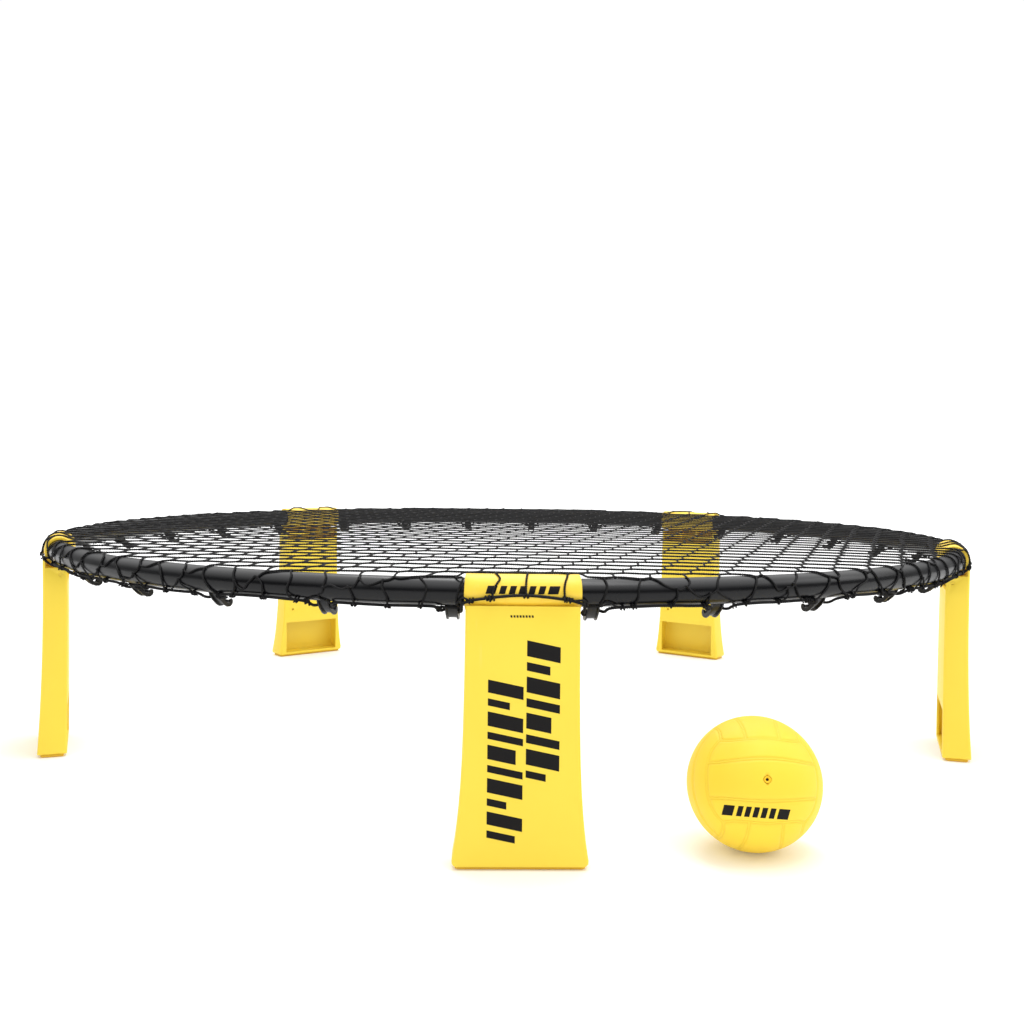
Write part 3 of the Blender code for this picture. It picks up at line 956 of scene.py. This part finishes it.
def tie_points(knots, draws):
    """The hitches that tie the net to the edge cord: each a turn and a half round it, and a tail."""
    routes = []
    for azimuth in knots:
        distance, angle = edge_at(azimuth)
        centre = around_tube(azimuth, distance, angle)
        ahead = around_tube(azimuth + 0.004, *edge_at(azimuth + 0.004))
        along = (ahead - centre).normalized()
        outward = (centre - around_tube(azimuth, 0.0, 0.0)).normalized()
        side = along.cross(outward).normalized()
        outward = side.cross(along).normalized()
        start = draws.uniform(0, math.tau)
        points = []
        for k in range(13):
            turn = start + math.tau * TIE_TURNS * k / 12
            points.append(
                centre + along * (k / 12 - 0.5) * TIE_LENGTH
                + outward * (TIE_RADIUS * math.cos(turn)) + side * (TIE_RADIUS * math.sin(turn))
            )
        lean = Vector((draws.uniform(-1, 1), draws.uniform(-1, 1), draws.uniform(-1.6, -0.2))).normalized()
        tail = (lean + outward * 1.3).normalized()
        length = draws.uniform(0.0001, 0.0007)
        last = points[-1]
        for k in range(1, 5):
            points.append(last + tail * length * k / 4 + TAIL_DROP * (k / 4) ** 2)
        routes.append(points)
    return routes


KNOTS = []


class ROUNDNET_OT_edge_cord(bpy.types.Operator):
    """Lay the edge cord from hook to hook, and tie the net to it"""

    bl_idname = "roundnet.edge_cord"
    bl_label = "Edge Cord"

    def execute(self, context):
        wanted = context.scene.roundnet_net
        black = once("edge_twine", twine, wanted.twine_colour, wanted.fuzz_colour, 1500.0)
        curve = cord_curve("edge", wanted.edge_width, THREE_PLY)
        points = spaced([around_tube(*row) for row in EDGE], CORD_STEP, True)
        lay(curve, points, math.radians(60), True)
        bm = bmesh_of_curve(curve)
        ties = cord_curve("ties", wanted.twine_width * 0.9, TWO_PLY)
        for route in tie_points(sorted(KNOTS), random.Random(23)):
            lay(ties, spaced(route, TIE_STEP), math.radians(90))
        piece = object_from(joined(bm, bmesh_of_curve(ties)), "edge_cord_and_ties", black, math.pi)
        ride_and_replace(piece, "frame", "edge_fabric", "net_edge_cord")
        return {"FINISHED"}


# ---- net ----
CORD_REACH = 0.009
HOOK_CLEARANCE = 0.0066
BEND_START = 0.18
BEND = 0.6
LATTICE_RADIUS = 0.52
LOOSE_EDGE = 0.44


def over_collar(azimuth):
    """1 on a collar, 0 on the bare tube."""
    off = abs((azimuth + SECTOR / 2) % SECTOR - SECTOR / 2) * RING_RADIUS
    half = COLLAR_HALF * RING_RADIUS
    return 1 - smooth_step((off - half - 0.0008) / 0.006)


def wrap_of(azimuth, twine_width):
    """(flat height, wrap radius, first angle, straight length) where the net leaves the flat."""
    over = over_collar(azimuth)
    flat = RING_HEIGHT + TUBE_RADIUS + twine_width * 0.45
    radius = TUBE_RADIUS + (COLLAR_RADIUS - TUBE_RADIUS) * over + twine_width * 0.45
    first = math.radians(90 + 18 * over)
    tip = (RING_RADIUS + radius * math.cos(first), RING_HEIGHT + radius * math.sin(first))
    straight = math.hypot(tip[0] - NET_FLAT_RADIUS, tip[1] - flat)
    return flat, radius, first, straight, tip


def reach_of(azimuth, twine_width):
    """How far past the flat the edge cord lies, along the net."""
    _, radius, first, straight, _ = wrap_of(azimuth, twine_width)
    return straight + radius * (first - edge_at(azimuth)[1])


def on_net(flat_point, twine_width):
    """The place in space of a point of the flat net, laid over the rim."""
    rho = flat_point.length
    azimuth = math.atan2(flat_point.x, -flat_point.y)
    past = rho - NET_FLAT_RADIUS
    flat, radius, first, straight, tip = wrap_of(azimuth, twine_width)
    if past <= 0:
        return place(rho, 0, flat, azimuth)
    if past < straight:
        share = past / straight
        return place(blend_of(NET_FLAT_RADIUS, tip[0], share), 0, blend_of(flat, tip[1], share), azimuth)
    distance, last = edge_at(azimuth)
    angle = max(last, first - (past - straight) / radius)
    near = smooth_step(1 - (angle - last) * radius / CORD_REACH)
    low = smooth_step((-math.radians(35) - angle) / math.radians(30))
    if low > 0:
        gap = HOOK_STEP * RING_RADIUS
        off = ((azimuth % SECTOR - HOOK_FIRST) * RING_RADIUS + gap / 2) % gap - gap / 2
        clear = math.copysign(max(abs(off), HOOK_CLEARANCE), off)
        azimuth += (clear - off) * low / RING_RADIUS
    return around_tube(azimuth, blend_of(radius, distance, near), angle)


def row_shift(x):
    """The rows bend back on the left of the net and forward on the right."""
    beyond = max(0.0, abs(x) - BEND_START)
    return -math.copysign(BEND * beyond * beyond, x)


def lattice(wanted):
    """The net's knots as flat points: {(row, column, end): point}. End 0 is the back end of a short leg."""
    draws = random.Random(5)
    found = {}
    for row in range(-2, 36):
        for column in range(-32, 24):
            top = NET_START + NET_ROW * row + Vector((wanted.mesh_width * column, 0))
            for end, point in ((0, top), (1, top + NET_LEG)):
                wander = Vector((draws.gauss(0, 1), draws.gauss(0, 1))) * wanted.looseness
                if point.length > LATTICE_RADIUS:
                    continue
                point = point + Vector((0, row_shift(point.x)))
                found[row, column, end] = point + wander * (1.6 if point.length > LOOSE_EDGE else 0.8)
    return found


SNAP = 0.006


def settle(knots, twine_width):
    """Ties knots near the edge cord onto it. Returns {key: (flat point, 'in', 'tied' or 'out')}."""
    found = {}
    for key, point in knots.items():
        azimuth = math.atan2(point.x, -point.y)
        reach = reach_of(azimuth, twine_width) + NET_FLAT_RADIUS
        beyond = point.length - reach
        if abs(beyond) < SNAP:
            found[key] = (point * (reach / point.length), "tied")
        else:
            found[key] = (point, "out" if beyond > 0 else "in")
    return found


def strand(one, two, bow, drift, twist, twine_width):
    """A strand between two flat points, slack off the flat, and cut where it meets the edge cord."""
    count = 24
    points = []
    across = Vector((-(two - one).y, (two - one).x)).normalized()
    span = (two - one).length
    for k in range(count + 1):
        share = k / count
        point = one.lerp(two, share)
        loose = smooth_step((point.length - RING_RADIUS) / 0.012)
        outward = point.normalized()
        swing = 4 * share * (1 - share)
        sideways = (0.07 * (1 - bow) + 0.10 * drift) * swing + 0.07 * twist * math.sin(math.tau * share)
        point = point + (outward * (0.15 * bow * swing) + across * sideways) * (span * loose)
        azimuth = math.atan2(point.x, -point.y)
        if point.length > reach_of(azimuth, twine_width) + NET_FLAT_RADIUS + 1e-6:
            points.append(on_net(point, twine_width))
            return points, azimuth
        points.append(on_net(point, twine_width))
    return points, None


class ROUNDNET_OT_net(bpy.types.Operator):
    """Knot the net and stretch it over the rim"""

    bl_idname = "roundnet.net"
    bl_label = "Net"

    def execute(self, context):
        wanted = context.scene.roundnet_net
        width = wanted.twine_width
        black = once("net_twine", twine, wanted.twine_colour, wanted.fuzz_colour)
        knots = settle(lattice(wanted), width)
        panels = wanted.panels
        curves = [cord_curve(f"panel_{i}", width, TWO_PLY) for i in range(panels)]
        nodes = [[] for _ in range(panels)]
        KNOTS.clear()

        def panel_of(point):
            azimuth = math.atan2(point.x, -point.y) % math.tau
            return int(azimuth / math.tau * panels) % panels

        used = set()
        draws = random.Random(41)
        for (row, column, end), (one, state) in sorted(knots.items()):
            targets = [(row, column, 1)] if end == 0 else [(row - 1, column, 0), (row - 1, column + 1, 0)]
            bow = float(end)
            for key in targets:
                if key not in knots:
                    continue
                two, other = knots[key]
                if "in" not in (state, other):
                    continue
                start, finish = (one, two) if state == "in" else (two, one)
                slack = bow * draws.uniform(0.2, 1.5) + (1 - bow) * draws.uniform(-0.3, 0.3)
                drift, twist = draws.gauss(0, 0.8), draws.gauss(0, 0.8)
                points, cut = strand(start, finish, slack, drift, twist, width)
                if len(points) < 5:
                    continue
                number = panel_of((start + finish) / 2)
                lay(curves[number], spaced(points, CORD_STEP), math.radians(90))
                if cut is not None:
                    KNOTS.append(cut % math.tau)
                used |= {(row, column, end), key}
        for key in sorted(used):
            point, state = knots[key]
            if state == "tied":
                KNOTS.append(math.atan2(point.x, -point.y) % math.tau)
            elif state == "in":
                nodes[panel_of(point)].append(point)
        for i in range(panels):
            bm = bmesh_of_curve(curves[i])
            for point in nodes[i]:
                spot = Matrix.Translation(on_net(point, width)) @ Matrix.Rotation(point.x * 900, 4, "Z")
                shape = Matrix.Diagonal((width * 0.95, width * 0.7, width * 0.62, 1))
                bmesh.ops.create_icosphere(bm, subdivisions=1, radius=1.0, matrix=spot @ shape)
            piece = object_from(bm, f"net_panel_{i + 1:02d}", black, math.pi)
            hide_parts("net_centre", "net_border", "net_wrap")
            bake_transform(piece)
        return {"FINISHED"}


# ---- ball ----
SEAM = 0.40
GROOVE = 0.025
GROOVE_HALF = 0.011
PANEL_HALF_LENGTH = math.radians(54)
PANEL_CORNER = math.asin(math.sqrt(1 / 3))
BALL_RIGHT = Vector((0.9996, -0.0287, 0.0))
RECESS_DEPTH = 0.005
RECESS_RADIUS = 0.0028
RECESS_WALL = 0.0006
VALVE_SEAT = 0.003
VALVE_OUTLINE = (
    (0.0, -4.4), (0.9, -4.2), (0.95, -0.7), (1.05, -0.4), (1.4, -0.2), (1.8, 0.0), (2.1, 0.1), (2.35, 0.08),
    (2.45, -0.1), (2.5, -1.2),
)


def panel_border(share):
    """A point of the line where one panel group's ends meet the next one's side: (own, next, third)."""
    lift = share * PANEL_CORNER
    turn = PANEL_HALF_LENGTH - (PANEL_HALF_LENGTH - math.pi / 4) * abs(share) ** 4
    return Vector((math.cos(lift) * math.cos(turn), math.cos(lift) * math.sin(turn), math.sin(lift)))


def panel_samples():
    lines = {0.0}
    for side in (-1, 1):
        lines.add(side)
        for off in (GROOVE - GROOVE_HALF, GROOVE, GROOVE + GROOVE_HALF):
            lines |= {side * (1 - off), side * SEAM + off, side * SEAM - off}
        lines |= {side * 0.0085 * k for k in range(1, 9)}
    ordered = sorted(lines)
    found = [ordered[0]]
    for one, two in zip(ordered, ordered[1:]):
        count = max(1, math.ceil((two - one) / 0.045))
        found += [blend_of(one, two, k / count) for k in range(1, count + 1)]
    return found


def panel_group(bm, axes, sign, samples, depth):
    """A group of three panels as a grid, with a pair of fine grooves along each seam and border."""
    own, following, third = axes
    last = len(samples) - 1
    verts = bmesh.ops.create_grid(bm, x_segments=last, y_segments=last, size=1.0)["verts"]

    def end(side, t):
        point = panel_border(t)
        return own * point.x + following * point.y * side + third * point.z

    def flank(side, s):
        point = panel_border(s)
        return third * point.x * side + own * point.y + following * point.z

    for vert in verts:
        s = samples[round((vert.co.x + 1) / 2 * last)]
        t = samples[round((vert.co.y + 1) / 2 * last)]
        u, v = (s + 1) / 2, (t + 1) / 2
        sides = end(-1, t).lerp(end(1, t), u) + flank(-1, s).lerp(flank(1, s), v)
        corners = end(-1, -1).lerp(end(1, -1), u).lerp(end(-1, 1).lerp(end(1, 1), u), v)
        point = (sides - corners).normalized()
        off = min(abs(abs(t) - SEAM), 1 - abs(t), 1 - abs(s))
        cut = max(0.0, 1 - abs(off - GROOVE) / GROOVE_HALF)
        vert.co = point * (BALL_RADIUS - depth * cut) * sign


class ROUNDNET_OT_ball(bpy.types.Operator):
    """Make the ball with its grooved panels"""

    bl_idname = "roundnet.ball"
    bl_label = "Ball"

    def execute(self, context):
        wanted = context.scene.roundnet_ball
        colour = wanted.colour
        deep = shade(colour, 0.99, 0.96, 0.8)
        rubber = once(
            "yellow_ball_rubber", moulded_plastic, colour, deep, (0.5, 0.62), (0.9, 0.82, 0.5),
            0.06, 1500.0,
        )
        bm = bmesh.new()
        axes = [Vector(row) for row in ((0, 0, 1), (1, 0, 0), (0, 1, 0))]
        samples = panel_samples()
        for turn in range(3):
            order = axes[turn:] + axes[:turn]
            for sign in (1, -1):
                panel_group(bm, order, sign, samples, wanted.groove_depth)
        bmesh.ops.remove_doubles(bm, verts=bm.verts, dist=2e-5)
        bmesh.ops.recalc_face_normals(bm, faces=bm.faces)
        for vert in bm.verts:
            if vert.co.z > 0:
                off = math.hypot(vert.co.x, vert.co.y)
                vert.co.z -= RECESS_DEPTH * smooth_step((RECESS_RADIUS - off) / RECESS_WALL)
        bm.transform(ball_turn())
        piece = object_from(bm, "grooved_ball", rubber, math.pi)
        ride_and_replace(piece, "ball", "ball_rubber", "ball_skin")
        return {"FINISHED"}


def ball_turn():
    """From the ball's own axes, with the valve up Z and the panels along X, to its place."""
    right = (BALL_RIGHT - VALVE_AXIS * BALL_RIGHT.dot(VALVE_AXIS)).normalized()
    up = VALVE_AXIS.cross(right)
    turn = Matrix((right, up, VALVE_AXIS)).transposed().to_4x4()
    return Matrix.Translation(BALL_CENTRE) @ turn


class ROUNDNET_OT_valve(bpy.types.Operator):
    """Make the ball's valve, and a dark cone of painted shade in its hole"""

    bl_idname = "roundnet.valve"
    bl_label = "Ball Valve"

    def execute(self, context):
        rubber = once(
            "orange_valve_rubber", moulded_plastic, (0.97, 0.60, 0.01), (0.95, 0.56, 0.008), (0.5, 0.62),
            PALE_DUST, 0.05, 1500.0,
        )
        bm = bmesh.new()
        surface = math.sqrt(BALL_RADIUS**2 - VALVE_SEAT**2)
        edges = wire(bm, [(out * MM, 0, surface + up * MM) for out, up in VALVE_OUTLINE], cyclic=False)
        bmesh.ops.spin(
            bm, geom=edges + list(bm.verts), axis=(0, 0, 1), angle=math.tau, steps=32, use_merge=True
        )
        bmesh.ops.remove_doubles(bm, verts=bm.verts, dist=1e-6)
        rim = [edge for edge in bm.edges if len(edge.link_faces) == 1]
        bmesh.ops.contextual_create(bm, geom=rim)
        bmesh.ops.recalc_face_normals(bm, faces=bm.faces)
        bm.transform(ball_turn())
        piece = object_from(bm, "needle_valve", rubber)
        ride_and_replace(piece, "ball", "valve_rubber", "ball_valve")
        # Painted shade: a dark cone in the print ink's colour fills the valve's hole, so that the hole looks
        # dark.
        bm = bmesh.new()
        bottom = Matrix.Translation((-0.0003, 0, surface - 0.0010))
        bmesh.ops.create_cone(
            bm, cap_ends=True, segments=24, radius1=0.0008, radius2=0.0009, depth=0.0016, matrix=bottom
        )
        bm.transform(ball_turn())
        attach(object_from(bm, "valve_hole_painted_shade", bpy.data.materials["print_ink"]), "ball")
        return {"FINISHED"}


# The ball's mark: its bars' left and right edges, and their low and high edges, in millimetres.
MARK_BARS = (
    (-21.0, -13.5), (-11.0, -7.4), (-5.4, -1.8), (0.2, 3.8), (5.8, 9.4), (11.4, 15.0), (17.0, 24.5)
)
MARK_SPAN = (-23.6, -16.6)
MARK_SLANT = 0.25
MARK_WAY = Vector((-0.2276, -0.9313, 0.2844))


class ROUNDNET_OT_ball_mark(bpy.types.Operator):
    """Print a row of slanted bars on the ball"""

    bl_idname = "roundnet.ball_mark"
    bl_label = "Ball Mark"

    def execute(self, context):
        bm = bmesh.new()
        for left, right in MARK_BARS:
            for vert in bmesh.ops.create_grid(bm, x_segments=5, y_segments=5, size=1.0)["verts"]:
                up = blend_of(MARK_SPAN[0], MARK_SPAN[1], (vert.co.y + 1) / 2) * MM
                across = blend_of(left, right, (vert.co.x + 1) / 2) * MM + MARK_SLANT * (up + 0.02)
                toward = math.sqrt((BALL_RADIUS + PRINT_LIFT) ** 2 - across**2 - up**2)
                vert.co = (across, up, toward)
        thicken_print(bm, lambda face: Vector((0, 0, 1)))
        toward = MARK_WAY.normalized()
        right = Vector((0, 0, 1)).cross(toward).normalized()
        turn = Matrix((right, toward.cross(right), toward)).transposed().to_4x4()
        bm.transform(Matrix.Translation(BALL_CENTRE) @ turn)
        piece = object_from(bm, "ball_mark", bpy.data.materials["print_ink"])
        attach(piece, "ball")
        return {"FINISHED"}


# ---- stage ----
def soft_light(name, place_at, look_at, width, depth, power, colour=(1, 1, 1)):
    light = bpy.data.lights.new(name, "AREA")
    light.shape = "RECTANGLE"
    light.size, light.size_y = width, depth
    light.energy = power
    light.color = colour
    obj = bpy.data.objects.new(name, light)
    obj.location = place_at
    obj.rotation_euler = (Vector(look_at) - Vector(place_at)).to_track_quat("-Z", "Y").to_euler()
    bpy.context.scene.collection.objects.link(obj)
    return obj


def sky(tree, split, start, low, high, behind):
    """Brightness rising with height, and more of it behind the object than in front."""
    up = ranged(tree, split.outputs["Z"], start, 0.9, low, high)
    back = ranged(tree, split.outputs["Y"], -0.6, 0.9, 0.0, behind)
    return calculated(tree, "ADD", up, back)


def studio_world():
    """White to the camera, an even pale room for the light, and a darker one in front for reflections."""
    world = bpy.data.worlds.new("studio")
    world.use_nodes = True
    tree = world.node_tree
    background = tree.nodes["Background"]
    coordinates = add(tree, "ShaderNodeTexCoord")
    split = add(tree, "ShaderNodeSeparateXYZ")
    tree.links.new(coordinates.outputs["Generated"], split.inputs[0])
    path = add(tree, "ShaderNodeLightPath")
    last = sky(tree, split, -0.1, 0.80, 1.0, 0.15)
    for ray, value in (("Is Glossy Ray", sky(tree, split, 0.3, 0.05, 3.0, 0.4)), ("Is Camera Ray", 1.02)):
        strength = add(tree, "ShaderNodeMix", data_type="FLOAT")
        tree.links.new(path.outputs[ray], strength.inputs["Factor"])
        tree.links.new(last, strength.inputs[2])
        feed(tree, strength.inputs[3], value)
        last = strength.outputs[0]
    tree.links.new(last, background.inputs["Strength"])
    background.inputs["Color"].default_value = (1, 1, 1, 1)
    world.cycles.sampling_method = "NONE"
    bpy.context.scene.world = world


FLOOR_HALF = 30.0
CAMERA_PLACE = Vector((-0.0316, -1.2708, 0.2942))
CAMERA_HEADING = 0.0287
CAMERA_PITCH = 0.0557
CAMERA_ROLL = 0.0126


class ROUNDNET_OT_stage(bpy.types.Operator):
    """Set up the floor, the lights and the camera"""

    bl_idname = "roundnet.stage"
    bl_label = "Stage"

    def execute(self, context):
        wanted = context.scene.roundnet_stage
        bm = bmesh.new()
        bmesh.ops.create_grid(bm, x_segments=8, y_segments=8, size=FLOOR_HALF)
        floor = object_from(bm, "studio_floor", once("floor_paper", floor_paper, wanted.floor_colour))
        studio_world()
        soft_light("overhead", (0.1, 0.1, 2.3), (0.0, 0.05, 0.1), 2.8, 0.6, wanted.overhead)
        soft_light("right", (2.4, -0.4, 1.6), (0.0, 0.0, 0.1), 1.2, 1.2, wanted.overhead * 0.3)
        camera = bpy.data.cameras.new("view")
        camera.lens = wanted.lens
        camera.sensor_width = 36.0
        camera.clip_start, camera.clip_end = 0.02, 60.0
        obj = bpy.data.objects.new("view", camera)
        flat = math.cos(CAMERA_PITCH)
        ahead = Vector(
            (math.sin(CAMERA_HEADING) * flat, math.cos(CAMERA_HEADING) * flat, -math.sin(CAMERA_PITCH))
        )
        level = ahead.cross(Vector((0, 0, 1))).normalized()
        upward = level.cross(ahead)
        right = level * math.cos(CAMERA_ROLL) + upward * math.sin(CAMERA_ROLL)
        top = upward * math.cos(CAMERA_ROLL) - level * math.sin(CAMERA_ROLL)
        turn = Matrix((right, top, -ahead)).transposed().to_4x4()
        obj.matrix_world = Matrix.Translation(CAMERA_PLACE + RING) @ turn
        context.scene.collection.objects.link(obj)
        context.scene.camera = obj
        context.scene.view_settings.view_transform = "Standard"
        return {"FINISHED"}


class ROUNDNET_PT_panel(bpy.types.Panel):
    """Lists the pieces of the roundnet set"""

    bl_idname = "ROUNDNET_PT_panel"
    bl_label = "Roundnet Set"
    bl_space_type = "VIEW_3D"
    bl_region_type = "UI"
    bl_category = "Roundnet"

    def draw(self, context):
        layout = self.layout
        for attribute, kinds in PANEL_ROWS:
            settings = getattr(context.scene, attribute)
            box = layout.box()
            for name in settings.__annotations__:
                box.prop(settings, name)
            for kind in kinds:
                box.operator(kind.bl_idname)


GROUPS = (
    ("roundnet_frame", ROUNDNET_PG_frame),
    ("roundnet_net", ROUNDNET_PG_net),
    ("roundnet_ball", ROUNDNET_PG_ball),
    ("roundnet_stage", ROUNDNET_PG_stage),
)
PANEL_ROWS = (
    (
        "roundnet_frame",
        (
            ROUNDNET_OT_rim, ROUNDNET_OT_collars, ROUNDNET_OT_legs, ROUNDNET_OT_prints,
            ROUNDNET_OT_collar_prints, ROUNDNET_OT_feet, ROUNDNET_OT_pins,
        ),
    ),
    ("roundnet_net", (ROUNDNET_OT_net, ROUNDNET_OT_edge_cord)),
    ("roundnet_ball", (ROUNDNET_OT_ball, ROUNDNET_OT_valve, ROUNDNET_OT_ball_mark)),
    ("roundnet_stage", (ROUNDNET_OT_stage,)),
)
OPERATORS = tuple(kind for _, kinds in PANEL_ROWS for kind in kinds)


def register():
    for _, group in GROUPS:
        bpy.utils.register_class(group)
    for kind in OPERATORS:
        bpy.utils.register_class(kind)
    bpy.utils.register_class(ROUNDNET_PT_panel)
    for attribute, group in GROUPS:
        setattr(bpy.types.Scene, attribute, PointerProperty(type=group))


def unregister():
    for attribute, _ in GROUPS:
        delattr(bpy.types.Scene, attribute)
    bpy.utils.unregister_class(ROUNDNET_PT_panel)
    for kind in reversed(OPERATORS):
        bpy.utils.unregister_class(kind)
    for _, group in reversed(GROUPS):
        bpy.utils.unregister_class(group)


def main():
    register()
    for kind in OPERATORS:
        getattr(bpy.ops.roundnet, kind.bl_idname.split(".")[1])()


if __name__ == "__main__":
    main()
